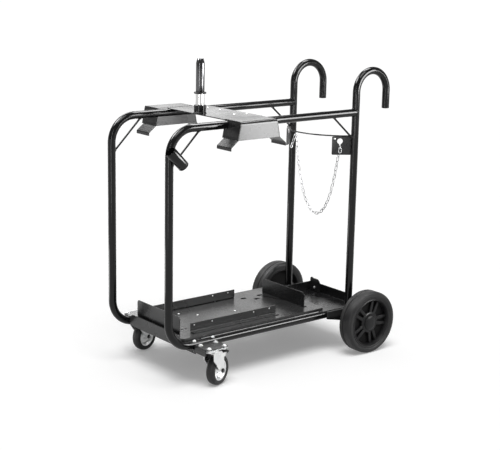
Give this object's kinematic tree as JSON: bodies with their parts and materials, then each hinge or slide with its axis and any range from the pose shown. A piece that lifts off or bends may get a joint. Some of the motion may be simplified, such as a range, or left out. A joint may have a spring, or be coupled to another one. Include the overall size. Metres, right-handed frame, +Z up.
{
  "type": "welding cart",
  "caption": "Bent-tube welding cart with a machine tray, rear gas cylinder tray with chain, top feeder pin, cable hangers, handle hooks, swivel casters and rear wheels.",
  "frame": {"origin": "on the floor, under the middle of the cart's outline", "axes": "+X towards the caster end, +Y to the cart's left, +Z up"},
  "size_m": [1.1748, 0.666, 1.2636],
  "materials": {
    "black_paint": "gloss black powder coat",
    "black_plastic": "black moulded plastic",
    "tyre_rubber": "dark grey solid rubber",
    "zinc": "bright zinc plate",
    "steel": "turned bare steel"
  },
  "bodies": {
    "cart": {"left_side_frame": "black_paint", "left_rear_post": "black_paint", "left_front_brace": "black_paint", "left_rear_brace": "black_paint", "left_cable_hanger": "black_paint", "left_guide_rail": "black_paint", "left_chain_plate": "black_paint", "left_axle_bracket": "black_paint", "right_side_frame": "black_paint", "right_rear_post": "black_paint", "right_front_brace": "black_paint", "right_rear_brace": "black_paint", "right_cable_hanger": "black_paint", "right_guide_rail": "black_paint", "right_chain_plate": "black_paint", "right_axle_bracket": "black_paint", "torch_holder": "black_paint", "feeder_plate": "black_paint", "feeder_pin_collar": "black_paint", "platform": "black_paint", "front_stop_plate": "black_paint", "partition_plate": "black_paint", "cylinder_tray": "black_paint", "cradle_rod": "black_paint", "caster_cross_plate": "black_paint", "left_hook_cap": "black_plastic", "right_hook_cap": "black_plastic", "feeder_pin_ring": "black_plastic", "chain_anchor_link": "zinc", "chain_stud": "zinc", "left_caster_plate": "zinc", "left_caster_bolt_1": "zinc", "left_caster_bolt_2": "zinc", "left_caster_bolt_3": "zinc", "left_caster_bolt_4": "zinc", "right_caster_plate": "zinc", "right_caster_bolt_1": "zinc", "right_caster_bolt_2": "zinc", "right_caster_bolt_3": "zinc", "right_caster_bolt_4": "zinc", "feeder_pin": "steel", "rear_axle": "steel", "left_axle_spacer": "steel", "right_axle_spacer": "steel"},
    "left_swivel": {"left_caster_fork": "zinc", "left_caster_axle": "zinc"},
    "right_swivel": {"right_caster_fork": "zinc", "right_caster_axle": "zinc"},
    "left_caster_wheel": {"left_caster_rim": "zinc", "left_caster_tyre": "tyre_rubber"},
    "right_caster_wheel": {"right_caster_rim": "zinc", "right_caster_tyre": "tyre_rubber"},
    "left_rear_wheel": {"left_rear_tyre": "tyre_rubber", "left_rear_rim": "black_plastic", "left_hub_cap": "black_plastic"},
    "right_rear_wheel": {"right_rear_tyre": "tyre_rubber", "right_rear_rim": "black_plastic", "right_hub_cap": "black_plastic"},
    "brake": {"left_brake_pedal": "black_plastic"},
    "chain": {"cylinder_chain": "zinc"}
  },
  "joints": [
    {"name": "left_caster_swivel", "type": "hinge", "parent": "cart", "child": "left_swivel", "pos_m": [0.38458, 0.262, 0.155], "axis": [0, 0, 1], "continuous": true},
    {"name": "right_caster_swivel", "type": "hinge", "parent": "cart", "child": "right_swivel", "pos_m": [0.38458, -0.262, 0.155], "axis": [0, 0, 1], "continuous": true},
    {"name": "left_caster_roll", "type": "hinge", "parent": "left_swivel", "child": "left_caster_wheel", "pos_m": [0.34901, 0.24863, 0.06196], "axis": [-0.3518, 0.9361, 0], "continuous": true},
    {"name": "right_caster_roll", "type": "hinge", "parent": "right_swivel", "child": "right_caster_wheel", "pos_m": [0.34784, -0.27171, 0.06196], "axis": [-0.2554, 0.9668, 0], "continuous": true},
    {"name": "left_rear_wheel_roll", "type": "hinge", "parent": "cart", "child": "left_rear_wheel", "pos_m": [-0.41842, 0.2975, 0.13435], "axis": [0, 1, 0], "continuous": true},
    {"name": "right_rear_wheel_roll", "type": "hinge", "parent": "cart", "child": "right_rear_wheel", "pos_m": [-0.41842, -0.2975, 0.13435], "axis": [0, 1, 0], "continuous": true},
    {"name": "brake_press", "type": "hinge", "parent": "left_swivel", "child": "brake", "pos_m": [0.32654, 0.24019, 0.127], "axis": [0.3518, -0.9361, 0], "range_deg": [0, 15]},
    {"name": "chain_swing", "type": "hinge", "parent": "cart", "child": "chain", "pos_m": [-0.39842, -0.176, 0.89], "axis": [0.1387, 0.9896, -0.039], "range_deg": [-4, 35]}
  ]
}
